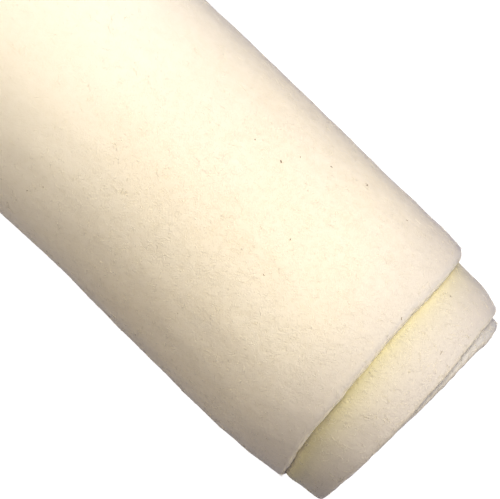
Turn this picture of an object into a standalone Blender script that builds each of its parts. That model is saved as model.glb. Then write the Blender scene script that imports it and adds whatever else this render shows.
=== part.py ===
"""Roll of felt: one cut length of thick cream wool felt, wound up by hand and lying on its side.

The felt is modelled as a maker would handle it. A flat cut length, as a plain grid, is rolled up
about the X axis from its free tail inwards, and then given its thickness. The turns have slipped
along the roll, so the outer wrap stands back from the inner ones at the +X end and hangs past them
at the -X end. Distances are in metres and +Z is up. The origin is on the surface that the roll lies
on, under the middle of its bounding box.
"""

import math

import bmesh
import bpy
from mathutils import Vector

MM = 0.001

# The cut length before it was rolled.
FELT_WIDTH = 300 * MM
FELT_LENGTH = 1000 * MM
FELT_THICKNESS = 3.0 * MM

# The roll. A pitch is what the radius loses in one turn, so a gap is a pitch less the thickness.
ROLL_DIAMETER = 75 * MM
OUTER_PITCH = 3.6 * MM
INNER_PITCH = 3.45 * MM
LOOSE_TURNS = 2.0

# The flat spot under the roll, where its own weight has pressed it down.
FLAT_HALF_WIDTH = 10 * MM
PRESS_LOST_PER_TURN = 0.10

# The free tail under the roll springs out a little from the wrap below it.
TAIL_TURN = -0.125
TAIL_LIFT = 0.7 * MM
TAIL_LIFT_TURNS = 0.09

# Slow swellings and hollows of the roll's sides, in every turn alike: where along X, at which part
# of a turn, how high, and how far along X it reaches. There are none near the flat spot, up to a
# height that is a share of the roll's radius.
NO_SWELL_BELOW = 0.04
SWELL_COLUMNS = ("x", "part_turn", "height", "reach")
SWELLS = (
    (49 * MM, 0.5, 0.25 * MM, 10 * MM),
    (51 * MM, 0.0, -0.43 * MM, 22 * MM),
    (67 * MM, 0.5, -0.45 * MM, 16 * MM),
    (93 * MM, 0.0, 0.25 * MM, 16 * MM),
    (118 * MM, 0.0, -0.30 * MM, 12 * MM),
    (122 * MM, 0.5, 0.38 * MM, 18 * MM),
)

# A cut edge is drawn in towards the roll's axis. This much only closes the gap below it, and the
# rest thins the felt.
DRAW_IN_TAKEN_BY_GAP = 0.3 * MM
BACK_EDGE_DRAW_IN = 0.6 * MM
BACK_EDGE_REACH = 9 * MM
DRAW_IN_CURVE = 1.5

# Steps of the mesh: straight steps to a turn, and the stations across the width from the +X edge.
OUTER_STEPS = 48
INNER_STEPS = 24
FINE_TURNS = 2.49
WIDTH_STATIONS = tuple(
    MM * station for station in (0, 3, 9, 20, 48, 72, 92, 130, 170, 210, 250, 291, 300)
)

# The +X cut edge, turn by turn from the +Y side of the outer wrap inwards: how far the edge stands
# back from the furthest one, how far its outer face is drawn in towards the roll's axis, and how
# deep from the edge that reaches.
EDGE_COLUMNS = ("turn", "set_back", "draw_in", "reach")
FRONT_EDGE = (
    (-0.125, 20.6 * MM, 0.6 * MM, 9 * MM),
    (0.000, 20.0 * MM, 0.5 * MM, 9 * MM),
    (0.042, 18.8 * MM, 0.5 * MM, 9 * MM),
    (0.130, 18.2 * MM, 0.7 * MM, 10 * MM),
    (0.195, 18.0 * MM, 0.8 * MM, 11 * MM),
    (0.240, 17.4 * MM, 0.9 * MM, 12 * MM),
    (0.277, 16.7 * MM, 1.0 * MM, 13 * MM),
    (0.332, 16.1 * MM, 1.1 * MM, 15 * MM),
    (0.375, 15.5 * MM, 1.2 * MM, 17 * MM),
    (0.440, 13.8 * MM, 1.4 * MM, 20 * MM),
    (0.500, 13.2 * MM, 1.4 * MM, 20 * MM),
    (0.750, 8.2 * MM, 1.5 * MM, 14 * MM),
    (1.000, 3.4 * MM, 1.9 * MM, 8 * MM),
    (1.083, 2.8 * MM, 1.8 * MM, 8 * MM),
    (1.134, 2.3 * MM, 1.6 * MM, 8 * MM),
    (1.185, 1.6 * MM, 1.4 * MM, 8 * MM),
    (1.234, 1.1 * MM, 1.2 * MM, 8 * MM),
    (1.285, 0.6 * MM, 1.1 * MM, 8 * MM),
    (1.344, 0.9 * MM, 0.9 * MM, 8 * MM),
    (1.392, 1.4 * MM, 0.8 * MM, 8 * MM),
    (1.450, 2.2 * MM, 0.7 * MM, 8 * MM),
    (1.500, 2.4 * MM, 0.7 * MM, 8 * MM),
    (1.750, 2.0 * MM, 0.9 * MM, 8 * MM),
    (2.000, 0.8 * MM, 1.0 * MM, 8 * MM),
    (2.120, 0.1 * MM, 0.9 * MM, 8 * MM),
    (2.226, 0.1 * MM, 0.8 * MM, 8 * MM),
    (2.350, 1.2 * MM, 0.8 * MM, 8 * MM),
    (2.500, 2.7 * MM, 0.8 * MM, 8 * MM),
    (3.000, 1.6 * MM, 0.7 * MM, 8 * MM),
    (3.500, 2.9 * MM, 0.7 * MM, 8 * MM),
    (4.000, 2.1 * MM, 0.7 * MM, 8 * MM),
    (5.000, 3.4 * MM, 0.6 * MM, 8 * MM),
    (6.000, 1.9 * MM, 0.6 * MM, 8 * MM),
)

CREAM = (0.86, 0.80, 0.65, 1.0)
FELT_ROUGHNESS = 0.95


def clear_scene():
    for thing in list(bpy.data.objects):
        bpy.data.objects.remove(thing)


def edge_value(column, turn):
    """A column of FRONT_EDGE at any turn, on a smooth curve through the rows."""
    turns = [row[0] for row in FRONT_EDGE]
    values = [row[EDGE_COLUMNS.index(column)] for row in FRONT_EDGE]
    last = len(turns) - 1
    i = max(k for k in range(last) if k == 0 or turns[k] <= turn)

    def slope(k):
        low, high = max(k - 1, 0), min(k + 1, last)
        return (values[high] - values[low]) / (turns[high] - turns[low])

    span = turns[i + 1] - turns[i]
    f = min(max((turn - turns[i]) / span, 0.0), 1.0)
    return (
        values[i] * (2 * f**3 - 3 * f**2 + 1)
        + slope(i) * span * (f**3 - 2 * f**2 + f)
        + values[i + 1] * (3 * f**2 - 2 * f**3)
        + slope(i + 1) * span * (f**3 - f**2)
    )


# The spiral's first radius, on the +Y side, so that the roll is ROLL_DIAMETER wide from above.
FIRST_RADIUS = ROLL_DIAMETER / 2 + OUTER_PITCH / 4


def spiral_radius(turn):
    """Radius of the felt's outer face, where nothing presses on it or lifts it."""
    loose = min(turn, LOOSE_TURNS)
    return FIRST_RADIUS - OUTER_PITCH * loose - INNER_PITCH * (turn - loose)


def tail_lift(turn):
    """How far the free tail stands off the wrap below it."""
    near_tail = 1 - (turn - TAIL_TURN) / TAIL_LIFT_TURNS
    return TAIL_LIFT * max(near_tail, 0.0) ** 2


BOTTOM_TURN = 0.75
AXIS_HEIGHT = math.sqrt(spiral_radius(BOTTOM_TURN) ** 2 - FLAT_HALF_WIDTH**2)
AXIS_Y = -OUTER_PITCH / 4


def pressed_up(turn):
    """How far the surface below has pushed the felt up, which the inner turns feel less."""
    outer_turn = turn % 1
    outer_depth = -spiral_radius(outer_turn) * math.sin(2 * math.pi * outer_turn)
    share = 1 - PRESS_LOST_PER_TURN * max(turn - BOTTOM_TURN, 0.0)
    return max(outer_depth - AXIS_HEIGHT, 0.0) * share


def drawn_in(amount, reach, from_edge):
    """How much of the draw-in of a cut edge is left at a distance from that edge."""
    return amount * max(1 - from_edge / reach, 0.0) ** DRAW_IN_CURVE


def draw_in(turn, across):
    """How far the felt's outer face is drawn in at a place on the cut length."""
    front = drawn_in(edge_value("draw_in", turn), edge_value("reach", turn), across)
    return front + drawn_in(BACK_EDGE_DRAW_IN, BACK_EDGE_REACH, FELT_WIDTH - across)


def swell(angle, x):
    """How far the roll's side swells out at a place along the roll."""
    total = 0.0
    for row in SWELLS:
        place = dict(zip(SWELL_COLUMNS, row))
        towards = max(math.cos(angle - 2 * math.pi * place["part_turn"]), 0.0)
        total += place["height"] * towards * math.exp(-(((x - place["x"]) / place["reach"]) ** 2))
    height = 1 + math.sin(angle)
    return total * min(max(height - NO_SWELL_BELOW, 0.0), 1.0)


def roll_end_x():
    """X of the furthest cut edge at the +X end, for a bounding box centred on the origin."""
    turns = [step / OUTER_STEPS for step in range(round(TAIL_TURN * OUTER_STEPS), OUTER_STEPS)]
    furthest_back = max(edge_value("set_back", turn) for turn in turns)
    return (FELT_WIDTH + furthest_back) / 2


ROLL_END_X = roll_end_x()


def rolled(turn, across):
    """Where a place on the cut length's outer face lies once the felt is rolled up."""
    angle = 2 * math.pi * turn
    x = ROLL_END_X - edge_value("set_back", turn) - across
    radius = spiral_radius(turn) + tail_lift(turn) - draw_in(turn, across) + swell(angle, x)
    y = AXIS_Y + radius * math.cos(angle)
    z = AXIS_HEIGHT + radius * math.sin(angle) + pressed_up(turn)
    return Vector((x, y, z))


def turn_stations():
    """The turns at which the felt has a row of points, from its tail until its length is used up."""
    turns = [TAIL_TURN]
    wound = 0.0
    while wound < FELT_LENGTH:
        steps = OUTER_STEPS if turns[-1] < FINE_TURNS else INNER_STEPS
        turn = turns[-1] + 1 / steps
        middle_radius = spiral_radius(turn) - FELT_THICKNESS / 2
        wound += 2 * math.pi * middle_radius / steps
        turns.append(turn)
    return turns


def felt_material():
    material = bpy.data.materials.new("cream_felt")
    material.use_nodes = True
    shader = material.node_tree.nodes["Principled BSDF"]
    shader.inputs["Base Color"].default_value = CREAM
    shader.inputs["Roughness"].default_value = FELT_ROUGHNESS
    shader.inputs["Metallic"].default_value = 0.0
    return material


def add_felt_roll(collection):
    """The cut length: a flat grid, rolled up and then thickened inwards from its outer face."""
    turns = turn_stations()
    lengths, widths = len(turns) - 1, len(WIDTH_STATIONS) - 1
    bm = bmesh.new()
    bmesh.ops.create_grid(bm, x_segments=lengths, y_segments=widths, size=1.0)
    felt = bpy.data.objects.new("felt_roll", bpy.data.meshes.new("felt_roll"))
    collection.objects.link(felt)
    thickness = felt.vertex_groups.new(name="thickness")
    weights = bm.verts.layers.deform.verify()
    for vertex in bm.verts:
        along = round((vertex.co.x + 1) / 2 * lengths)
        across = WIDTH_STATIONS[round((1 - vertex.co.y) / 2 * widths)]
        turn = turns[along]
        squeezed = max(draw_in(turn, across) - DRAW_IN_TAKEN_BY_GAP, 0.0)
        vertex[weights][thickness.index] = 1 - squeezed / FELT_THICKNESS
        vertex.co = rolled(turn, across)
    bm.to_mesh(felt.data)
    bm.free()
    thicken = felt.modifiers.new("thickness", "SOLIDIFY")
    thicken.thickness = FELT_THICKNESS
    thicken.offset = -1
    thicken.vertex_group = thickness.name
    felt.data.shade_smooth()
    felt.data.materials.append(felt_material())
    return felt


def main():
    clear_scene()
    collection = bpy.data.collections.new("roll_of_felt")
    bpy.context.scene.collection.children.link(collection)
    add_felt_roll(collection)


main()
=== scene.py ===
"""Looks of the roll of felt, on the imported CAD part.

The wound sheet is a fine mesh with soft cut edges, on the same spiral as the CAD solid that it
stands for. Loose wool fibres lie on its faces and stand out of its cut edges, with a few dark
specks of straw among them. The camera looks straight down, turned so that the roll runs from the
picture's upper left to its lower right. Distances are in metres.

A place on the felt has a turn and a distance across. Turns are counted from the roll's +Y side
over its top and inwards, so that the outer wrap ends at turn 1 and the second wrap at turn 2. The
distance across starts at the felt's front edge, which is its +X one, and ends at its back edge.
"""

import math

import bpy
import numpy as np
from mathutils import Matrix, Vector


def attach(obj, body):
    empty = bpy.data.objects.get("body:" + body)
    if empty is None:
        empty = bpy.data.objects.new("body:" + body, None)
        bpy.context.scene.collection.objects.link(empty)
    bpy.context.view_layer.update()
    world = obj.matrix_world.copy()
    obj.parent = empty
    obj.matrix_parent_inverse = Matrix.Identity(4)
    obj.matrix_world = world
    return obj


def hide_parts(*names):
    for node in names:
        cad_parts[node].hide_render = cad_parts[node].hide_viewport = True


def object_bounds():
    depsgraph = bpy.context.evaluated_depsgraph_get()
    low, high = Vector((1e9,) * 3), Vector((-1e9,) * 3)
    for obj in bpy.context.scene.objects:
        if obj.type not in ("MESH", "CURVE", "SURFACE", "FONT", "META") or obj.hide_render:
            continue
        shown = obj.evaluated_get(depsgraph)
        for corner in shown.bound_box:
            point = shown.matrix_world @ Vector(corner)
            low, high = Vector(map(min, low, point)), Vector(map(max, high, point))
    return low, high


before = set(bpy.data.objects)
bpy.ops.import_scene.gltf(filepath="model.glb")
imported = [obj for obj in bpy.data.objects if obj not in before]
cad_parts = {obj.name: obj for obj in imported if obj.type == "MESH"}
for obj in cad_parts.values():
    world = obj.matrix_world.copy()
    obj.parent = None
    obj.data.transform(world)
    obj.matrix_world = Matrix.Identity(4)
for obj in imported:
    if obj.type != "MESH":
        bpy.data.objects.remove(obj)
CAD_LOW, CAD_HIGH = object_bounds()

MM = 0.001
TAU = 2 * math.pi


class Table:
    """A short table with named columns. A loop over it gets each row as a dictionary."""

    def __init__(self, columns, *rows):
        self.columns, self.rows = columns, rows

    def __iter__(self):
        return (dict(zip(self.columns, row)) for row in self.rows)

    def __getitem__(self, column):
        return np.array([row[self.columns.index(column)] for row in self.rows])

    def at(self, column, places):
        """A column's values at places in the first column, on straight lines between the rows."""
        return np.interp(places, self[self.columns[0]], self[column])


# The cut length and its winding, as in the CAD source but for small changes that the photo asks
# for. The free tail lies under the roll's +Y side.
FELT_WIDTH = 300 * MM
FELT_LENGTH = 1000 * MM
FELT_THICKNESS = 3.0 * MM
ROLL_DIAMETER = 75 * MM
OUTER_PITCH = 3.6 * MM
INNER_PITCH = 3.45 * MM
LOOSE_TURNS = 2.0
FIRST_RADIUS = ROLL_DIAMETER / 2 + OUTER_PITCH / 4
FLAT_HALF_WIDTH = 10 * MM
PRESS_LOST_PER_TURN = 0.10
SOFT_PRESS = 0.5 * MM
BOTTOM_TURN = 0.75
TAIL_TURN = -0.125
TAIL_LIFT = 0.7 * MM
TAIL_LIFT_TURNS = 0.09
WINDING_STEPS = 4001

# Where the roll's sides swell or sink: at an x, on the side that a part of a turn points to.
NO_SWELL_BELOW = 0.04
SWELLS = Table(
    ("x", "part_turn", "height", "reach"),
    (49 * MM, 0.5, 0.25 * MM, 10 * MM),
    (51 * MM, 0.0, -0.43 * MM, 22 * MM),
    (67 * MM, 0.5, -0.45 * MM, 16 * MM),
    (93 * MM, 0.0, -0.15 * MM, 16 * MM),
    (118 * MM, 0.0, -0.30 * MM, 12 * MM),
    (122 * MM, 0.5, 0.38 * MM, 18 * MM),
)

# The front edge is set back from the roll's +X end, and near each edge the felt is drawn in
# towards the axis. Part of that is taken by the gap, and only the rest squeezes the felt.
DRAW_IN_TAKEN_BY_GAP = 0.4 * MM
BACK_EDGE_DRAW_IN = 0.6 * MM
BACK_EDGE_REACH = 9 * MM
DRAW_IN_CURVE = 1.5
FRONT_EDGE = Table(
    ("turn", "set_back", "draw_in", "reach"),
    (-0.125, 20.6 * MM, 0.6 * MM, 9 * MM),
    (0.000, 20.0 * MM, 0.5 * MM, 9 * MM),
    (0.042, 18.8 * MM, 0.5 * MM, 9 * MM),
    (0.130, 18.2 * MM, 0.7 * MM, 10 * MM),
    (0.195, 18.0 * MM, 0.8 * MM, 11 * MM),
    (0.240, 17.4 * MM, 0.9 * MM, 12 * MM),
    (0.277, 16.7 * MM, 1.0 * MM, 13 * MM),
    (0.332, 16.1 * MM, 1.1 * MM, 15 * MM),
    (0.375, 15.5 * MM, 1.2 * MM, 17 * MM),
    (0.440, 13.8 * MM, 1.5 * MM, 20 * MM),
    (0.500, 13.2 * MM, 1.65 * MM, 20 * MM),
    (0.750, 8.2 * MM, 1.5 * MM, 14 * MM),
    (1.000, 3.4 * MM, 1.9 * MM, 8 * MM),
    (1.083, 2.6 * MM, 1.8 * MM, 8 * MM),
    (1.134, 2.1 * MM, 1.6 * MM, 8 * MM),
    (1.185, 1.4 * MM, 1.4 * MM, 8 * MM),
    (1.234, 1.1 * MM, 1.2 * MM, 8 * MM),
    (1.285, 0.6 * MM, 1.1 * MM, 8 * MM),
    (1.344, 0.8 * MM, 0.9 * MM, 8 * MM),
    (1.392, 1.1 * MM, 0.8 * MM, 8 * MM),
    (1.450, 1.5 * MM, 0.6 * MM, 8 * MM),
    (1.500, 1.6 * MM, 0.6 * MM, 8 * MM),
    (1.750, 2.0 * MM, 0.9 * MM, 8 * MM),
    (2.000, 0.3 * MM, 0.8 * MM, 8 * MM),
    (2.065, -0.4 * MM, 0.7 * MM, 8 * MM),
    (2.120, -0.1 * MM, 0.8 * MM, 8 * MM),
    (2.226, 0.1 * MM, 0.8 * MM, 8 * MM),
    (2.350, 1.2 * MM, 0.8 * MM, 8 * MM),
    (2.500, 2.7 * MM, 0.8 * MM, 8 * MM),
    (3.000, 1.6 * MM, 0.7 * MM, 8 * MM),
    (3.500, 2.9 * MM, 0.7 * MM, 8 * MM),
    (4.000, 2.1 * MM, 0.7 * MM, 8 * MM),
    (5.000, 3.4 * MM, 0.6 * MM, 8 * MM),
    (6.000, 1.9 * MM, 0.6 * MM, 8 * MM),
)

# Where the cut edges waver and are nicked.
EDGE_WAVER = 0.07 * MM
EDGE_WAVER_REACH = 5 * MM
NICKS = Table(
    ("turn", "depth", "half_width"),
    (0.272, 0.30 * MM, 1.3 * MM),
    (0.287, 0.35 * MM, 1.3 * MM),
    (0.405, 0.20 * MM, 2.0 * MM),
)

# How softly the cut edges are rounded: points inwards from the cut, and their depth in the felt,
# from 0 on its outer face to 1 on its inner one.
OUTER_NOSE = Table(
    ("inset", "depth"),
    (0.00 * MM, 0.97),
    (0.04 * MM, 0.80),
    (0.09 * MM, 0.60),
    (0.17 * MM, 0.42),
    (0.32 * MM, 0.25),
    (0.58 * MM, 0.11),
    (1.05 * MM, 0.03),
    (1.80 * MM, 0.00),
)
INNER_NOSE = Table(
    ("inset", "depth"),
    (0.02 * MM, 1.03),
    (0.10 * MM, 1.05),
    (0.30 * MM, 1.05),
    (0.55 * MM, 1.04),
    (0.80 * MM, 1.03),
    (1.10 * MM, 1.02),
    (1.40 * MM, 1.01),
    (1.80 * MM, 1.00),
)
NOSE_LENGTH = OUTER_NOSE["inset"][-1]
NOSE_ROUGHNESS = 0.05 * MM
NOSE_ROUGHNESS_STRETCH = 2
END_TAPER = 1.4 * MM
END_THINNEST = 0.04

# Where the second wrap bulges out from under the cut edge of the outer one.
BULGE_TURN, BULGE_TURNS = 1.49, 0.075
BULGE_HEIGHT, BULGE_REACH = 0.85 * MM, 2.8 * MM
BULGE_FROM_EDGE = 0.6 * BULGE_REACH

# The soft lumps of the felt's faces.
LUMP_HEIGHT = 0.06 * MM

# Rows of points on the sheet: how far apart they are along it, and where they are across it.
ALONG_ROWS = Table(("up_to_turn", "spacing"), (1.05, 1.5 * MM), (2.4, 2.2 * MM), (9.0, 3.0 * MM))
NEAR_FRONT_ROWS = MM * np.array(
    [3, 4, 5, 6.2, 7.4, 8.6, 9.8, 11, 12.2, 13.4, 14.6, 15.8, 17, 18.2, 19.6, 21.2, 23]
)
ACROSS_SPACING = 4.2 * MM
NEAR_BACK_ROWS = MM * np.array([10, 7, 4.5, 3.2])

# Where each painted light and shade on the felt lies, and how strong it is there. The cut faces
# get painted light, the felt near the cut edges painted shade, and a thin rim of the outer wrap
# more so; the second and third wraps get more painted shade. The third wrap's tints start a
# little before turn 2, where the felt is hidden.
SECOND_WRAP_TURN, THIRD_WRAP_TURN = 1, 1.9
EDGE_LIGHT_REACH = 0.6 * MM
EDGE_SHADE_REACH = 14 * MM
SECOND_WRAP_SHADE, THIRD_WRAP_SHADE = 1.6, 1.4
RIM_FROM_EDGE, RIM_REACH = 0.8 * MM, 0.7 * MM
RIM_SHADE = Table(("turn", "share"), (0.27, 0.55), (0.36, 0.20), (0.50, 0.0))

# Painted grey shade on the front rims and on the third wrap.
GREY_RIM_REACH, GREY_WRAP_REACH = 1.6 * MM, 5 * MM
GREY_SHADE = Table(
    ("turn", "share"),
    (0.10, 0.60),
    (0.16, 0.50),
    (0.22, 0.25),
    (0.29, 0.18),
    (0.36, 0.00),
    (1.00, 0.00),
    (1.10, 0.40),
    (1.20, 0.30),
    (1.30, 0.00),
    (1.90, 0.00),
    (2.00, 1.00),
    (2.45, 1.00),
    (2.60, 0.00),
)

# Painted light: the roll is paler around its middle.
PAINTED_LIGHT = Table(("across", "share"), (62 * MM, 0), (105 * MM, 1), (200 * MM, 1), (240 * MM, 0))

# Painted light and shade on the second wrap beside the outer wrap's edge: painted yellow bounce
# light and shade in the crevice, painted shade close to the edge, a painted shaded band a little
# further out and a thin painted lit line.
CREVICE_YELLOW_REACH = 3.8 * MM
NEAR_SHADE_REACH = 2.2 * MM
SHADE_FROM_EDGE, SHADE_REACH = 2.6 * MM, 2.0 * MM
LIT_LINE_REACH = 1.3 * MM
CREVICE = Table(
    ("turn", "yellow", "wear", "shade", "lit_line"),
    (1.05, 0.65, 1.80, 0.0, 0.00),
    (1.20, 0.85, 1.60, 0.0, 0.00),
    (1.30, 1.00, 0.35, 0.1, 0.15),
    (1.40, 1.30, 0.00, 1.3, 0.65),
    (1.50, 1.10, 0.00, 1.4, 0.65),
)

# Loose fibres. A size with two values is the least and the most, and FIBRE_SINK is how deep the
# ends of those on the faces are worked into the felt.
FACE_FIBRE_STEPS = 6
FACE_FIBRE_CURL, FACE_FIBRE_WAVE = 1.3, 0.9
FACE_FIBRE_LENGTH = (1.2 * MM, 4.5 * MM)
FACE_FIBRE_RISE = (0.005 * MM, 0.05 * MM)
FACE_FIBRE_RADIUS = (0.025 * MM, 0.045 * MM)
FIBRE_SINK = 0.07 * MM
FIBRE_ARCH_CURVE = 0.7
FIBRE_MARGIN = 0.5 * MM
FLOOR_CLEARANCE = 0.15 * MM
EDGE_FIBRE_STEPS = 5
EDGE_FIBRE_LEAN, EDGE_FIBRE_BEND = 0.75, 1.5
EDGE_FIBRE_LENGTH = (0.3 * MM, 0.85 * MM)
EDGE_FIBRE_RADIUS = (0.022 * MM, 0.045 * MM)
EDGE_FIBRE_ROOT = 0.5 * MM
EDGE_DEPTH_MARGIN = 0.04
EDGE_FIBRES = Table(("seed", "fibres", "back"), (127, 3400, False), (131, 2200, True))

# Where fibres lie on the wraps' faces that show: between two turns and two distances across.
FACE_FIBRES = Table(
    ("piece", "seed", "fibres", "first_turn", "last_turn", "near", "far", "inner"),
    ("felt_fibres_front", 101, 5800, -0.12, 1.0, 0.6 * MM, 95 * MM, False),
    ("felt_fibres_middle", 103, 5800, -0.12, 1.0, 95 * MM, 195 * MM, False),
    ("felt_fibres_back", 107, 5800, -0.12, 1.0, 195 * MM, 299.4 * MM, False),
    ("felt_fibres_ends", 109, 2100, 1.0, 2.4, 0.6 * MM, 18 * MM, False),
    ("felt_fibres_ends", 113, 1300, -0.12, 1.2, 282 * MM, 299.4 * MM, True),
)

# The dark specks that stand out in the photo, and more on the -Y side and underneath.
SPECKS = Table(
    ("turn", "across", "length", "radius"),
    (0.154, 49.9 * MM, 0.9 * MM, 0.13 * MM),
    (0.080, 17.4 * MM, 0.8 * MM, 0.09 * MM),
    (0.089, 30.9 * MM, 1.7 * MM, 0.06 * MM),
    (0.108, 39.8 * MM, 0.8 * MM, 0.08 * MM),
    (0.130, 47.7 * MM, 0.7 * MM, 0.07 * MM),
    (0.154, 59.0 * MM, 0.7 * MM, 0.07 * MM),
    (0.211, 35.7 * MM, 0.8 * MM, 0.07 * MM),
    (0.257, 34.4 * MM, 0.7 * MM, 0.07 * MM),
    (0.185, 1.4 * MM, 0.8 * MM, 0.09 * MM),
    (1.108, 11.8 * MM, 0.9 * MM, 0.07 * MM),
    (1.173, 5.6 * MM, 1.4 * MM, 0.05 * MM),
)
SPECK_RISE = 0.06 * MM
MORE_SPECKS, MORE_SPECKS_SEED = 60, 139
MORE_SPECKS_TURNS, MORE_SPECKS_MARGIN = (0.3, 1.0), 10 * MM
MORE_SPECKS_LENGTH = (0.4 * MM, 1.2 * MM)
MORE_SPECKS_RADIUS = (0.04 * MM, 0.08 * MM)


# The spiral

def edge_value(column, turn):
    """A column of FRONT_EDGE at any turns, on a smooth curve through the rows."""
    turns, values = FRONT_EDGE["turn"], FRONT_EDGE[column]
    low = np.maximum(np.arange(len(turns)) - 1, 0)
    high = np.minimum(np.arange(len(turns)) + 1, len(turns) - 1)
    slopes = (values[high] - values[low]) / (turns[high] - turns[low])
    row = np.clip(np.searchsorted(turns, turn, side="right") - 1, 0, len(turns) - 2)
    span = turns[row + 1] - turns[row]
    part = np.clip((turn - turns[row]) / span, 0, 1)
    return (
        values[row] * (2 * part**3 - 3 * part**2 + 1)
        + slopes[row] * span * (part**3 - 2 * part**2 + part)
        + values[row + 1] * (3 * part**2 - 2 * part**3)
        + slopes[row + 1] * span * (part**3 - part**2)
    )


def spiral_radius(turn):
    """Radius of the felt's outer face, where nothing presses on it or lifts it."""
    loose = np.minimum(turn, LOOSE_TURNS)
    return FIRST_RADIUS - OUTER_PITCH * loose - INNER_PITCH * (turn - loose)


AXIS_HEIGHT = math.sqrt(float(spiral_radius(BOTTOM_TURN)) ** 2 - FLAT_HALF_WIDTH**2)
AXIS_Y = -OUTER_PITCH / 4
ROLL_END_X = (CAD_HIGH.x - CAD_LOW.x) / 2

# How much felt is wound from the tail to each turn.
ALL_TURNS = np.linspace(TAIL_TURN, FRONT_EDGE["turn"][-1], WINDING_STEPS)
MIDDLE_RADII = spiral_radius(ALL_TURNS) - FELT_THICKNESS / 2
TURN_STEP = ALL_TURNS[1] - ALL_TURNS[0]
ALL_LENGTHS = np.concatenate([[0.0], np.cumsum(TAU * TURN_STEP * MIDDLE_RADII[1:])])


def turn_at(along):
    """The turn that a length of felt, measured from the tail, reaches."""
    return np.interp(along, ALL_LENGTHS, ALL_TURNS)


def along_at(turn):
    """How much felt there is from the tail to a turn."""
    return np.interp(turn, ALL_TURNS, ALL_LENGTHS)


def pressed_up(turn):
    """How far the surface below has pushed the felt up, which the inner turns feel less."""
    outer_turn = turn % 1
    outer_depth = -spiral_radius(outer_turn) * np.sin(TAU * outer_turn)
    share = 1 - PRESS_LOST_PER_TURN * np.maximum(turn - BOTTOM_TURN, 0)
    pressed = outer_depth - AXIS_HEIGHT
    return (pressed + np.sqrt(pressed**2 + SOFT_PRESS**2)) / 2 * share


def draw_in(turn, across):
    """How far the felt's outer face is drawn in towards the axis near its cut edges."""
    near_front = np.clip(1 - across / edge_value("reach", turn), 0, 1) ** DRAW_IN_CURVE
    near_back = np.clip(1 - (FELT_WIDTH - across) / BACK_EDGE_REACH, 0, 1) ** DRAW_IN_CURVE
    return edge_value("draw_in", turn) * near_front + BACK_EDGE_DRAW_IN * near_back


def swell(angle, x):
    """How far the roll's side swells out at a place along the roll."""
    total = 0.0
    for one in SWELLS:
        towards = np.maximum(np.cos(angle - TAU * one["part_turn"]), 0)
        total = total + one["height"] * towards * np.exp(-(((x - one["x"]) / one["reach"]) ** 2))
    return total * np.clip(1 + np.sin(angle) - NO_SWELL_BELOW, 0, 1)


def tail_lift(turn):
    """How far the felt lifts off the spiral near its free tail."""
    return TAIL_LIFT * np.maximum(1 - (turn - TAIL_TURN) / TAIL_LIFT_TURNS, 0) ** 2


# Smooth unevenness

class Ripples:
    """Smooth random unevenness over the flat felt: many waves of seeded lengths and directions."""

    def __init__(self, seed, shortest, longest, count=36):
        random = np.random.default_rng(seed)
        number = TAU / (shortest * (longest / shortest) ** random.random(count))
        heading = TAU * random.random(count)
        self.waves = list(
            zip(number * np.cos(heading), number * np.sin(heading), TAU * random.random(count))
        )

    def __call__(self, along, across):
        total = sum(np.cos(a * along + b * across + phase) for a, b, phase in self.waves)
        return total / math.sqrt(len(self.waves) / 2)


LUMPS = Ripples(seed=11, shortest=9 * MM, longest=26 * MM)
FRONT_WAVER = Ripples(seed=23, shortest=3.5 * MM, longest=22 * MM)
BACK_WAVER = Ripples(seed=29, shortest=3.5 * MM, longest=22 * MM)
ROUGH_NOSE = Ripples(seed=31, shortest=3.2 * MM, longest=7 * MM)


def edge_shift(turn, across):
    """How far the felt reaches past or stops short of its straight cuts, in X, near each edge."""
    along = along_at(turn)
    front = EDGE_WAVER * FRONT_WAVER(along, 0.0)
    for nick in NICKS:
        away = (along - along_at(nick["turn"])) / nick["half_width"]
        front = front - nick["depth"] * np.exp(-(away**2))
    back = EDGE_WAVER * BACK_WAVER(along, 0.0)
    near_front = np.exp(-((across / EDGE_WAVER_REACH) ** 2))
    near_back = np.exp(-(((FELT_WIDTH - across) / EDGE_WAVER_REACH) ** 2))
    return front * near_front - back * near_back


def past_outer_wrap(turn, across):
    """How far in front of the cut edge of the wrap that lies over it a place on the felt is."""
    over = edge_value("set_back", np.maximum(turn - 1, TAIL_TURN))
    return over - edge_value("set_back", turn) - across


def bulge(turn, across):
    """How far the second wrap bulges out beside the cut edge of the outer one."""
    along = ((turn - BULGE_TURN) / BULGE_TURNS) ** 2
    beside = ((past_outer_wrap(turn, across) - BULGE_FROM_EDGE) / BULGE_REACH) ** 2
    return BULGE_HEIGHT * np.exp(-along - beside)


def place(turn, across, depth):
    """Points of the rolled felt, from their turn, their distance across and how deep in the felt
    they are, 0 on its outer face and 1 on its inner one."""
    angle = TAU * turn
    x = ROLL_END_X - edge_value("set_back", turn) - across + edge_shift(turn, across)
    drawn = draw_in(turn, across)
    squeezed = np.maximum(drawn - DRAW_IN_TAKEN_BY_GAP, 0)
    lump = LUMP_HEIGHT * LUMPS(along_at(turn), across) * (1 - depth)
    radius = spiral_radius(turn) + tail_lift(turn) - drawn + swell(angle, x) + lump
    radius = radius + bulge(turn, across)
    radius = radius - depth * (FELT_THICKNESS - squeezed)
    y = AXIS_Y + radius * np.cos(angle)
    z = AXIS_HEIGHT + radius * np.sin(angle) + pressed_up(turn)
    return np.stack([x, y, np.maximum(z, 0)], axis=-1)


def outwards(turn):
    """The direction away from the roll's axis."""
    angle = TAU * turn
    return np.stack([np.zeros_like(angle), np.cos(angle), np.sin(angle)], axis=-1)


# Meshes

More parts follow.
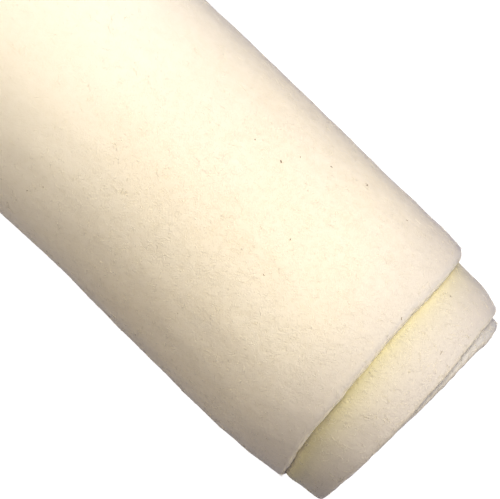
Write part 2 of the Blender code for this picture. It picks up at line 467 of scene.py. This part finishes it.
def make_mesh(name, points, faces, values):
    """A smooth mesh object from arrays of points and of faces that all have as many corners.
    values are named numbers, one for each point."""
    mesh = bpy.data.meshes.new(name)
    corners = faces.shape[1]
    mesh.vertices.add(len(points))
    mesh.vertices.foreach_set("co", np.asarray(points, np.float32).ravel())
    mesh.loops.add(faces.size)
    mesh.loops.foreach_set("vertex_index", np.asarray(faces, np.int32).ravel())
    mesh.polygons.add(len(faces))
    mesh.polygons.foreach_set("loop_start", np.arange(0, faces.size, corners, dtype=np.int32))
    mesh.update(calc_edges=True)
    mesh.validate()
    for key, column in values.items():
        attribute = mesh.attributes.new(key, "FLOAT", "POINT")
        attribute.data.foreach_set("value", np.asarray(column, np.float32).ravel())
    mesh.shade_smooth()
    piece = bpy.data.objects.new(name, mesh)
    bpy.context.scene.collection.objects.link(piece)
    return piece


# The sheet

def rows_along():
    """How far along the felt each row of points is, finer where more of it shows."""
    rows = [0.0]
    while rows[-1] < FELT_LENGTH:
        turn = turn_at(rows[-1])
        spacing = next(row["spacing"] for row in ALONG_ROWS if turn < row["up_to_turn"])
        rows.append(rows[-1] + spacing)
    rows[-1] = FELT_LENGTH
    return np.array(rows)


def sheet_sections():
    """How far along each section of the sheet is, and its thickness there as a share, which thins
    out at the two ends of the felt's length."""
    inset = OUTER_NOSE["inset"]
    rounded = np.sqrt(1 - (1 - np.clip(inset / END_TAPER, 0, 1)) ** 2)
    thickness = END_THINNEST + (1 - END_THINNEST) * rounded
    rows = rows_along()
    inner_rows = rows[(rows > NOSE_LENGTH) & (rows < FELT_LENGTH - NOSE_LENGTH)]
    along = np.concatenate([inset, inner_rows, FELT_LENGTH - inset[::-1]])
    return along, np.concatenate([thickness, np.ones(len(inner_rows)), thickness[::-1]])


def sheet_outline():
    """The felt's section across its width, as (across, depth): out along the outer face from the
    front edge to the back one, and home along the inner face."""
    middle = np.arange(
        NEAR_FRONT_ROWS[-1] + ACROSS_SPACING, FELT_WIDTH - NEAR_BACK_ROWS[0], ACROSS_SPACING
    )
    face = np.concatenate([NEAR_FRONT_ROWS, middle, FELT_WIDTH - NEAR_BACK_ROWS])
    across, depth = [], []
    for nose, face_depth in ((OUTER_NOSE, 0.0), (INNER_NOSE, 1.0)):
        inset, nose_depth = nose["inset"], nose["depth"]
        across.append(np.concatenate([inset, face, FELT_WIDTH - inset[::-1]]))
        depth.append(np.concatenate([nose_depth, np.full(len(face), face_depth), nose_depth[::-1]]))
    return np.concatenate([across[0], across[1][::-1]]), np.concatenate([depth[0], depth[1][::-1]])


def sheet_faces(count, size):
    """Faces between count sections of size points each, with the first and last section closed."""
    number = np.arange(count * size).reshape(count, size)
    on = np.roll(number, -1, axis=1)
    sides = np.stack([number[:-1], number[1:], on[1:], on[:-1]], axis=-1).reshape(-1, 4)
    half = np.arange(size // 2 - 1)
    first = np.stack([half, half + 1, size - 2 - half, size - 1 - half], axis=-1)
    last = first[:, ::-1] + (count - 1) * size
    return np.concatenate([sides, first, last])[:, ::-1]


def fading(distance, reach):
    """1 at no distance, fading out smoothly."""
    return np.exp(-((distance / reach) ** 2))


def sheet_tints(turn, across, depth, from_edge):
    """How strong each painted light and shade is at places on the felt. from_edge is how far
    the nearer cut is."""
    # Painted light on the cut faces.
    cut = fading(from_edge, EDGE_LIGHT_REACH)
    # Painted shade: darker near the cut edges, more on the second and third wraps and on a thin rim.
    worn = fading(from_edge, EDGE_SHADE_REACH) * np.where(turn > SECOND_WRAP_TURN, SECOND_WRAP_SHADE, 1)
    worn = np.where(turn > THIRD_WRAP_TURN, THIRD_WRAP_SHADE, worn)
    worn = worn + fading(from_edge - RIM_FROM_EDGE, RIM_REACH) * RIM_SHADE.at("share", turn)
    # Painted grey shade on the front rims and the third wrap.
    grey_shade_reach = np.where(turn > THIRD_WRAP_TURN, GREY_WRAP_REACH, GREY_RIM_REACH)
    dusty = fading(across, grey_shade_reach) * GREY_SHADE.at("share", turn)

    # Beside the outer wrap's edge: painted yellow bounce light and shade, painted shade, a painted
    # shaded band and a painted lit line.
    past = np.abs(past_outer_wrap(turn, across))
    yellow = np.exp(-past / CREVICE_YELLOW_REACH) * CREVICE.at("yellow", turn)
    wear = np.exp(-past / NEAR_SHADE_REACH) * CREVICE.at("wear", turn)
    shade = fading(past - SHADE_FROM_EDGE, SHADE_REACH) * CREVICE.at("shade", turn)
    lit_line = fading(past, LIT_LINE_REACH) * CREVICE.at("lit_line", turn)
    shows = (turn > SECOND_WRAP_TURN) & (turn < THIRD_WRAP_TURN) & (depth < 0.5)
    return {
        "cut_edge": np.maximum(cut, np.where(shows, lit_line, 0)),
        "worn": worn + np.where(shows, wear + shade, 0),
        "crevice": np.where(shows, yellow, 0),
        # Painted light over the roll's middle.
        "pale": PAINTED_LIGHT.at("share", across),
        "dusty": dusty,
    }


def make_sheet():
    """The wound felt as one closed mesh: a row of sections, closed at the two ends by its noses."""
    sections, thickness = sheet_sections()
    outline, outline_depth = sheet_outline()
    along, across = np.meshgrid(sections, outline, indexing="ij")
    depth = 0.5 + (outline_depth[None, :] - 0.5) * thickness[:, None]
    turn = turn_at(along)
    from_edge = np.minimum(across, FELT_WIDTH - across)
    rough = NOSE_ROUGHNESS * ROUGH_NOSE(along, depth * FELT_THICKNESS * NOSE_ROUGHNESS_STRETCH)
    inwards = np.where(across < NOSE_LENGTH, 1, -1)
    across = across + rough * np.clip(1 - from_edge / NOSE_LENGTH, 0, 1) * inwards
    points = place(turn, across, depth).reshape(-1, 3)
    tints = sheet_tints(turn, across, depth, from_edge)
    return make_mesh("felt_sheet", points, sheet_faces(*along.shape), tints)


# Loose fibres

class Strands:
    """Fibres gathered into one mesh: each is a thin closed tube with three sides. Its width
    follows a sine, which BLUNT_END cuts off at both ends so that they aren't sharp."""

    SIDES = 3
    BLUNT_END, TAPER_CURVE = 0.35, 0.5

    def __init__(self):
        self.points, self.faces, self.tones, self.count = [], [], [], 0

    def add(self, paths, side, radius, tone):
        """paths has a row of points for each fibre. side is across it and along the felt's face."""
        fibres, steps = paths.shape[:2]
        ahead = np.gradient(paths, axis=1)
        ahead /= np.linalg.norm(ahead, axis=2, keepdims=True)
        across = side - (side * ahead).sum(2, keepdims=True) * ahead
        across /= np.maximum(np.linalg.norm(across, axis=2, keepdims=True), 1e-9)
        upwards = np.cross(ahead, across)
        swing = np.linspace(self.BLUNT_END, math.pi - self.BLUNT_END, steps)
        width = radius[:, None, None] * (np.sin(swing) ** self.TAPER_CURVE)[None, :, None]
        rings = [
            paths + width * (math.cos(turn) * across + math.sin(turn) * upwards)
            for turn in TAU * np.arange(self.SIDES) / self.SIDES
        ]
        points = np.stack(rings, axis=2).reshape(-1, 3)
        ring = np.arange(steps)[:, None] * self.SIDES + np.arange(self.SIDES)[None, :]
        on = np.roll(ring, -1, axis=1)
        walls = np.stack([ring[:-1], on[:-1], on[1:], ring[:-1], on[1:], ring[1:]], axis=-1)
        caps = np.array([ring[0][::-1], ring[-1]])
        one_fibre = np.concatenate([walls.reshape(-1, 3), caps])
        faces = one_fibre[None] + (np.arange(fibres) * steps * self.SIDES)[:, None, None] + self.count
        self.points.append(points)
        self.faces.append(faces.reshape(-1, 3))
        self.tones.append(np.repeat(tone, steps * self.SIDES))
        self.count += len(points)

    def add_clear(self, paths, side, radius, tone):
        """Add the fibres that stay clear of the floor."""
        clear = paths[..., 2].min(axis=1) > FLOOR_CLEARANCE
        self.add(paths[clear], side[clear], radius[clear], tone[clear])

    def make(self, name):
        points, faces = np.concatenate(self.points), np.concatenate(self.faces)
        return make_mesh(name, points, faces, {"tone": np.concatenate(self.tones)})


def wander(random, fibres, steps, length):
    """Curly paths on the flat felt: how far along and across each step of each fibre is."""
    heading = TAU * random.random(fibres)[:, None]
    bend = random.normal(0, FACE_FIBRE_CURL, fibres)[:, None]
    wave = random.normal(0, FACE_FIBRE_WAVE, fibres)[:, None]
    part = np.linspace(0, 1, steps)[None, :]
    phase = TAU * random.random(fibres)[:, None]
    heading = heading + bend * part + wave * np.sin(TAU * part + phase)
    step = length[:, None] / (steps - 1)
    return np.cumsum(np.cos(heading) * step, axis=1), np.cumsum(np.sin(heading) * step, axis=1)


def lie_on_face(strands, random, along, across, length, rise, radius, inner=False):
    """Fibres that lie on a face of the felt, with their ends worked into it."""
    fibres, steps = len(along), FACE_FIBRE_STEPS
    step_along, step_across = wander(random, fibres, steps, length)
    along = np.clip(along[:, None] + step_along, FIBRE_MARGIN, FELT_LENGTH - FIBRE_MARGIN)
    across = np.clip(across[:, None] + step_across, FIBRE_MARGIN, FELT_WIDTH - FIBRE_MARGIN)
    turn = turn_at(along)
    arch = np.sin(np.linspace(0, math.pi, steps))[None, :] ** FIBRE_ARCH_CURVE
    height = -FIBRE_SINK + (FIBRE_SINK + rise[:, None]) * arch
    away = outwards(turn)
    face = place(turn, across, np.full_like(turn, 1.0 if inner else 0.0))
    paths = face + (-1 if inner else 1) * height[..., None] * away
    side = np.cross(away, np.gradient(paths, axis=1))
    strands.add_clear(paths, side, radius, random.random(fibres))


def stand_from_edge(strands, random, along, depth, length, radius, back):
    """Fibres that stand out of a cut edge, curling away from it."""
    fibres, steps = len(along), EDGE_FIBRE_STEPS
    turn = turn_at(along)
    across = np.full_like(turn, FELT_WIDTH - EDGE_FIBRE_ROOT if back else EDGE_FIBRE_ROOT)
    root = place(turn, across, depth)
    out = np.array([-1.0 if back else 1.0, 0, 0])
    away = outwards(turn)
    round_it = np.cross(out, away)
    lean = random.normal(0, EDGE_FIBRE_LEAN, (2, fibres, 1))
    bend = random.normal(0, EDGE_FIBRE_BEND, (2, fibres, 1))
    part = np.linspace(0, 1, steps)[None, :, None]
    heading = (
        out[None, None]
        + (lean[0][:, None] + bend[0][:, None] * part) * away[:, None]
        + (lean[1][:, None] + bend[1][:, None] * part) * round_it[:, None]
    )
    heading /= np.linalg.norm(heading, axis=2, keepdims=True)
    step = length[:, None, None] / (steps - 1)
    paths = root[:, None] + np.cumsum(heading * step, axis=1) - heading[:, :1] * step
    side = np.cross(np.roll(heading, 1, axis=2), heading)
    strands.add_clear(paths, side, radius, random.random(fibres))


def somewhere_on(random, fibres, turns, across_range):
    """Random places on the felt between two turns and two distances across."""
    start, end = along_at(turns[0]), along_at(turns[1])
    near, far = across_range
    along = start + random.random(fibres) * (end - start)
    return along, near + random.random(fibres) * (far - near)


def spread(random, fibres, sizes):
    """Random sizes from the least to the most, most of them nearer the least."""
    least, most = sizes
    return least + (most - least) * random.random(fibres) ** 2


def make_face_fibres():
    """The fibres on the faces, gathered into a few pieces."""
    gathered = {}
    for where in FACE_FIBRES:
        random = np.random.default_rng(where["seed"])
        count = where["fibres"]
        turns = where["first_turn"], where["last_turn"]
        along, across = somewhere_on(random, count, turns, (where["near"], where["far"]))
        length = spread(random, count, FACE_FIBRE_LENGTH)
        rise = spread(random, count, FACE_FIBRE_RISE)
        radius = spread(random, count, FACE_FIBRE_RADIUS)
        strands = gathered.setdefault(where["piece"], Strands())
        lie_on_face(strands, random, along, across, length, rise, radius, where["inner"])
    return [strands.make(name) for name, strands in gathered.items()]


def make_edge_fibres():
    """The short fuzz of both cut edges, as one piece."""
    strands = Strands()
    for edge in EDGE_FIBRES:
        random = np.random.default_rng(edge["seed"])
        count = edge["fibres"]
        along = FIBRE_MARGIN + random.random(count) * (FELT_LENGTH - 2 * FIBRE_MARGIN)
        depth = EDGE_DEPTH_MARGIN + (1 - 2 * EDGE_DEPTH_MARGIN) * random.random(count)
        length = spread(random, count, EDGE_FIBRE_LENGTH)
        radius = spread(random, count, EDGE_FIBRE_RADIUS)
        stand_from_edge(strands, random, along, depth, length, radius, edge["back"])
    return strands.make("felt_edge_fuzz")


def make_specks():
    """Bits of straw: those that stand out in the photo, and more on the -Y side and underneath."""
    random = np.random.default_rng(MORE_SPECKS_SEED)
    near, far = MORE_SPECKS_MARGIN, FELT_WIDTH - MORE_SPECKS_MARGIN
    more = somewhere_on(random, MORE_SPECKS, MORE_SPECKS_TURNS, (near, far))
    along = np.concatenate([along_at(SPECKS["turn"]), more[0]])
    across = np.concatenate([SPECKS["across"], more[1]])
    length = np.concatenate([SPECKS["length"], spread(random, MORE_SPECKS, MORE_SPECKS_LENGTH)])
    radius = np.concatenate([SPECKS["radius"], spread(random, MORE_SPECKS, MORE_SPECKS_RADIUS)])
    strands = Strands()
    lie_on_face(strands, random, along, across, length, np.full(len(along), SPECK_RISE), radius)
    return strands.make("felt_specks")


# Materials

CREAM_LIGHT = (0.955, 0.905, 0.765, 1)
CREAM_DARK = (0.922, 0.868, 0.718, 1)
CREAM_WARM = (0.940, 0.868, 0.695, 1)
# Painted light on the cut faces and a thin painted lit line beside the outer wrap's edge.
EDGE_LIGHT_COLOUR = (0.960, 0.905, 0.755, 1)
# Painted shade near the cut edges, on a thin rim and over the second and third wraps.
EDGE_SHADE_COLOUR = (0.805, 0.762, 0.680, 1)
# Painted light over the roll's middle; also the palest tone of the loose fibres.
LIT_AND_PALE_COLOUR = (0.985, 0.955, 0.850, 1)
# Painted shade and yellow bounce light in the crevice beside the outer wrap's edge.
CREVICE_SHADE_COLOUR = (0.790, 0.745, 0.430, 1)
# Painted grey shade on the front rims and the third wrap.
GREY_SHADE_COLOUR = (0.710, 0.700, 0.665, 1)
STRAW_COLOUR = (0.270, 0.190, 0.110, 1)

# Noises and fibre lines in the wool and the straw. A scale is how fine one is, for each metre.
MOTTLE_SCALE, GRAIN_SCALE, FIBRE_SCALE, STRAW_SCALE = 430, 1500, 2200, 1800
FIBRE_LINES = Table(
    ("scale", "width", "shift"),
    (360, 0.06, (0.013, 0.0, 0.007)),
    (560, 0.075, (0.0, 0.031, 0.0)),
    (820, 0.09, (0.05, 0.0, 0.02)),
)
LINES_SHARE = 0.45
PATCHES = Table(
    ("scale", "starts", "full", "share", "colour"),
    (150, 0.45, 0.8, 0.4, CREAM_DARK),
    (38, 0.4, 0.75, 0.5, CREAM_WARM),
)

# The sheet's painted light and shade in the order in which they are laid on.
TINTS = Table(
    ("attribute", "share", "colour"),
    ("pale", 0.36, LIT_AND_PALE_COLOUR),
    ("worn", 0.64, EDGE_SHADE_COLOUR),
    ("crevice", 0.75, CREVICE_SHADE_COLOUR),
    ("dusty", 0.85, GREY_SHADE_COLOUR),
    ("cut_edge", 0.9, EDGE_LIGHT_COLOUR),
)

# Heights of the felt's bumps, which are weaker where the painted light makes the felt pale.
MOTTLE_BUMP, LINES_BUMP, GRAIN_BUMP = 0.105 * MM, 0.037 * MM, 0.005 * MM
BUMP_LOST_WHERE_PALE = 0.5


class Nodes:
    """Short calls that add shader nodes and link them."""

    def __init__(self, name):
        self.material = bpy.data.materials.new(name)
        self.material.use_nodes = True
        self.tree = self.material.node_tree
        self.shader = self.tree.nodes["Principled BSDF"]
        self.coordinates = self.add("ShaderNodeTexCoord").outputs["Object"]

    def add(self, kind, settings=(), **inputs):
        node = self.tree.nodes.new(kind)
        for key, value in dict(settings).items():
            setattr(node, key, value)
        for key, value in inputs.items():
            self.feed(node.inputs[key.replace("_", " ")], value)
        return node

    def feed(self, socket, value):
        if isinstance(value, bpy.types.NodeSocket):
            self.tree.links.new(value, socket)
        else:
            socket.default_value = value

    def noise(self, scale, detail=2.0, roughness=0.5, distortion=0.0, vector=None):
        node = self.add(
            "ShaderNodeTexNoise",
            Scale=scale, Detail=detail, Roughness=roughness, Distortion=distortion,
            Vector=vector or self.coordinates,
        )
        return node.outputs["Fac"]

    def maths(self, operation, *values):
        node = self.add("ShaderNodeMath", {"operation": operation})
        for socket, value in zip(node.inputs, values):
            self.feed(socket, value)
        return node.outputs[0]

    def remap(self, value, low, high, to_low=0.0, to_high=1.0):
        node = self.add(
            "ShaderNodeMapRange", {"interpolation_type": "SMOOTHSTEP"},
            Value=value, From_Min=low, From_Max=high, To_Min=to_low, To_Max=to_high,
        )
        return node.outputs["Result"]

    def mix(self, factor, first, second):
        """A mix of two colours. Their sockets share names with others, so they go by number."""
        node = self.add("ShaderNodeMix", {"data_type": "RGBA"})
        sockets = node.inputs[0], node.inputs[6], node.inputs[7]
        for socket, value in zip(sockets, (factor, first, second)):
            self.feed(socket, value)
        return node.outputs[2]

    def attribute(self, name):
        return self.add("ShaderNodeAttribute", {"attribute_name": name}).outputs["Fac"]

    def curls(self, scale, width, shift):
        """Thin curly lines like matted fibres: where a warped noise crosses its middle."""
        moved = self.add("ShaderNodeVectorMath", {"operation": "ADD"})
        self.feed(moved.inputs[0], self.coordinates)
        moved.inputs[1].default_value = shift
        crossing = self.noise(scale, detail=1.5, distortion=0.8, vector=moved.outputs[0])
        away = self.maths("ABSOLUTE", self.maths("SUBTRACT", crossing, 0.5))
        return self.remap(away, 0.0, width, 1.0, 0.0)

    def bump(self, height, distance, strength, normal=None):
        node = self.add("ShaderNodeBump", Height=height, Distance=distance, Strength=strength)
        if normal is not None:
            self.feed(node.inputs["Normal"], normal)
        return node.outputs["Normal"]


def woolly(shader):
    """The values that all the wool shares, set on the shader itself."""
    shader.inputs["Specular IOR Level"].default_value = 0.12
    shader.inputs["Sheen Weight"].default_value = 0.5
    shader.inputs["Sheen Roughness"].default_value = 0.3
    shader.inputs["Sheen Tint"].default_value = (0.82, 0.88, 1.0, 1)


def felt_material():
    nodes = Nodes("cream_felt")
    mottle = nodes.noise(MOTTLE_SCALE)
    grain = nodes.noise(GRAIN_SCALE, roughness=0.6)
    lines = 0.0
    for one in FIBRE_LINES:
        lines = nodes.maths("MAXIMUM", lines, nodes.curls(one["scale"], one["width"], one["shift"]))
    colour = nodes.mix(nodes.remap(mottle, 0.25, 0.75), CREAM_DARK, CREAM_LIGHT)
    for patch in PATCHES:
        noise = nodes.noise(patch["scale"])
        share = nodes.remap(noise, patch["starts"], patch["full"], 0.0, patch["share"])
        colour = nodes.mix(share, colour, patch["colour"])
    colour = nodes.mix(nodes.maths("MULTIPLY", lines, LINES_SHARE), colour, CREAM_LIGHT)
    # Lay the painted light and shade over the felt's colour.
    for tint in TINTS:
        share = nodes.maths("MULTIPLY", nodes.attribute(tint["attribute"]), tint["share"])
        colour = nodes.mix(share, colour, tint["colour"])
    nodes.feed(nodes.shader.inputs["Base Color"], colour)
    strength = nodes.maths("MULTIPLY_ADD", nodes.attribute("pale"), -BUMP_LOST_WHERE_PALE, 1.0)
    normal = nodes.bump(mottle, MOTTLE_BUMP, strength)
    normal = nodes.bump(lines, LINES_BUMP, strength, normal)
    normal = nodes.bump(grain, GRAIN_BUMP, strength, normal)
    nodes.feed(nodes.shader.inputs["Normal"], normal)
    roughness = nodes.remap(mottle, 0.2, 0.8, to_low=0.98, to_high=0.86)
    nodes.feed(nodes.shader.inputs["Roughness"], roughness)
    woolly(nodes.shader)
    return nodes.material


def fibre_material():
    nodes = Nodes("wool_fibre")
    tone = nodes.attribute("tone")
    colour = nodes.mix(nodes.remap(tone, 0.0, 1.0), CREAM_LIGHT, LIT_AND_PALE_COLOUR)
    warmth = nodes.remap(nodes.noise(FIBRE_SCALE), 0.3, 0.7, 0.0, 0.3)
    nodes.feed(nodes.shader.inputs["Base Color"], nodes.mix(warmth, colour, CREAM_WARM))
    nodes.feed(nodes.shader.inputs["Roughness"], nodes.remap(tone, 0.0, 1.0, 0.7, 0.9))
    woolly(nodes.shader)
    return nodes.material


def straw_material():
    nodes = Nodes("straw")
    shade = nodes.remap(nodes.noise(STRAW_SCALE), 0.3, 0.7, 0.0, 0.5)
    nodes.feed(nodes.shader.inputs["Base Color"], nodes.mix(shade, STRAW_COLOUR, CREAM_DARK))
    nodes.feed(nodes.shader.inputs["Roughness"], nodes.remap(shade, 0.0, 0.5, 0.6, 0.8))
    nodes.shader.inputs["Specular IOR Level"].default_value = 0.2
    return nodes.material


# The pieces in their places

def ride(piece, material):
    """Give a piece its material and tie it to the part's one body."""
    piece.data.materials.append(material)
    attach(piece, "root")


felt = make_sheet()
ride(felt, felt_material())
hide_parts("felt_roll")
fibres = [*make_face_fibres(), make_edge_fibres()]
wool = fibre_material()
for piece in fibres:
    ride(piece, wool)
specks = make_specks()
ride(specks, straw_material())


# Floor, light and camera

# The photo in pixels. From its upper left corner a line runs right by AXIS_RIGHT and down by
# AXIS_DOWN, as the roll does. The roll's +X end is END_PIXEL along that line, and the roll's
# middle lies MIDDLE_PIXEL beside it.
METRES_PER_PIXEL = 0.2524 * MM
PICTURE_WIDTH, PICTURE_HEIGHT = 500, 499
AXIS_RIGHT, AXIS_DOWN = 0.7181, 0.6959
END_PIXEL, MIDDLE_PIXEL = 586.2, 3.7
LENS, SENSOR = 1000.0, 36.0
NEAREST_SEEN, FURTHEST_SEEN = 0.1, 50

FLOOR_HALF_WIDTH = 6.0
FLOOR_COLOUR = (0.25, 0.25, 0.25, 1)
FLOOR_GLOW = 0.9
WORLD_COLOUR = (0.70, 0.66, 0.95, 1)
WORLD_STRENGTH = 0.315

# Each light's height over the +Y side and its lean towards the -X end are in degrees.
LOOKED_AT = Vector((90 * MM, 0, AXIS_HEIGHT))
LIGHT_DISTANCE = 0.8
LIGHTS = Table(
    ("name", "height", "lean", "size", "power", "colour"),
    ("key", 54, -1, 0.8, 6.38, (1.0, 0.98, 0.925)),
    ("fill", 150, 30, 0.7, 2.78, (1.0, 0.94, 0.69)),
    ("end", 90, -78, 0.5, 1.9, (1.0, 0.96, 0.76)),
    ("far end", 90, 80, 0.5, 0.5, (1.0, 0.94, 0.74)),
)


def make_camera():
    """Straight down on the roll from far away."""
    centre_x, centre_y = PICTURE_WIDTH / 2, PICTURE_HEIGHT / 2
    along = AXIS_RIGHT * centre_x + AXIS_DOWN * centre_y
    beside = AXIS_DOWN * centre_x - AXIS_RIGHT * centre_y + MIDDLE_PIXEL
    target = Vector((
        ROLL_END_X - (END_PIXEL - along) * METRES_PER_PIXEL,
        beside * METRES_PER_PIXEL,
        AXIS_HEIGHT,
    ))
    data = bpy.data.cameras.new("camera")
    data.lens, data.sensor_width = LENS, SENSOR
    data.clip_start, data.clip_end = NEAREST_SEEN, FURTHEST_SEEN
    camera = bpy.data.objects.new("camera", data)
    bpy.context.scene.collection.objects.link(camera)
    right = Vector((AXIS_RIGHT, AXIS_DOWN, 0)).normalized()
    up = Vector((-AXIS_DOWN, AXIS_RIGHT, 0)).normalized()
    turned = Matrix((right, up, Vector((0, 0, 1)))).transposed()
    distance = PICTURE_WIDTH * METRES_PER_PIXEL * LENS / SENSOR
    camera.matrix_world = Matrix.Translation(target + Vector((0, 0, distance))) @ turned.to_4x4()
    bpy.context.scene.camera = camera


def make_floor():
    """A wide floor that glows pale, like the photo's background, but lights nothing itself."""
    half = FLOOR_HALF_WIDTH
    corners = [(-half, -half, 0), (half, -half, 0), (half, half, 0), (-half, half, 0)]
    mesh = bpy.data.meshes.new("floor")
    mesh.from_pydata(corners, [], [(0, 1, 2, 3)])
    floor = bpy.data.objects.new("floor", mesh)
    bpy.context.scene.collection.objects.link(floor)
    material = bpy.data.materials.new("pale_floor")
    material.use_nodes = True
    shader = material.node_tree.nodes["Principled BSDF"]
    shader.inputs["Base Color"].default_value = FLOOR_COLOUR
    shader.inputs["Roughness"].default_value = 1.0
    shader.inputs["Specular IOR Level"].default_value = 0.0
    shader.inputs["Emission Color"].default_value = (1, 1, 1, 1)
    shader.inputs["Emission Strength"].default_value = FLOOR_GLOW
    mesh.materials.append(material)
    floor.visible_diffuse = False


def make_light(name, position, size, power, colour):
    data = bpy.data.lights.new(name, "AREA")
    data.shape = "DISK"
    data.size = size
    data.energy = power
    data.color = colour
    light = bpy.data.objects.new(name, data)
    bpy.context.scene.collection.objects.link(light)
    light.location = position
    light.rotation_mode = "QUATERNION"
    light.rotation_quaternion = (LOOKED_AT - position).to_track_quat("-Z", "Y")
    light.visible_camera = False


def make_lights():
    for light in LIGHTS:
        height, lean = math.radians(light["height"]), math.radians(light["lean"])
        towards = Vector((
            -math.sin(lean), math.cos(lean) * math.cos(height), math.cos(lean) * math.sin(height)
        ))
        position = LOOKED_AT + LIGHT_DISTANCE * towards
        make_light(light["name"], position, light["size"], light["power"], light["colour"])


def make_world():
    world = bpy.data.worlds.new("studio")
    bpy.context.scene.world = world
    world.use_nodes = True
    back = world.node_tree.nodes["Background"]
    back.inputs["Color"].default_value = WORLD_COLOUR
    back.inputs["Strength"].default_value = WORLD_STRENGTH


make_camera()
make_floor()
make_world()
make_lights()
settings = bpy.context.scene.view_settings
settings.view_transform = "Standard"
settings.gamma = 0.6
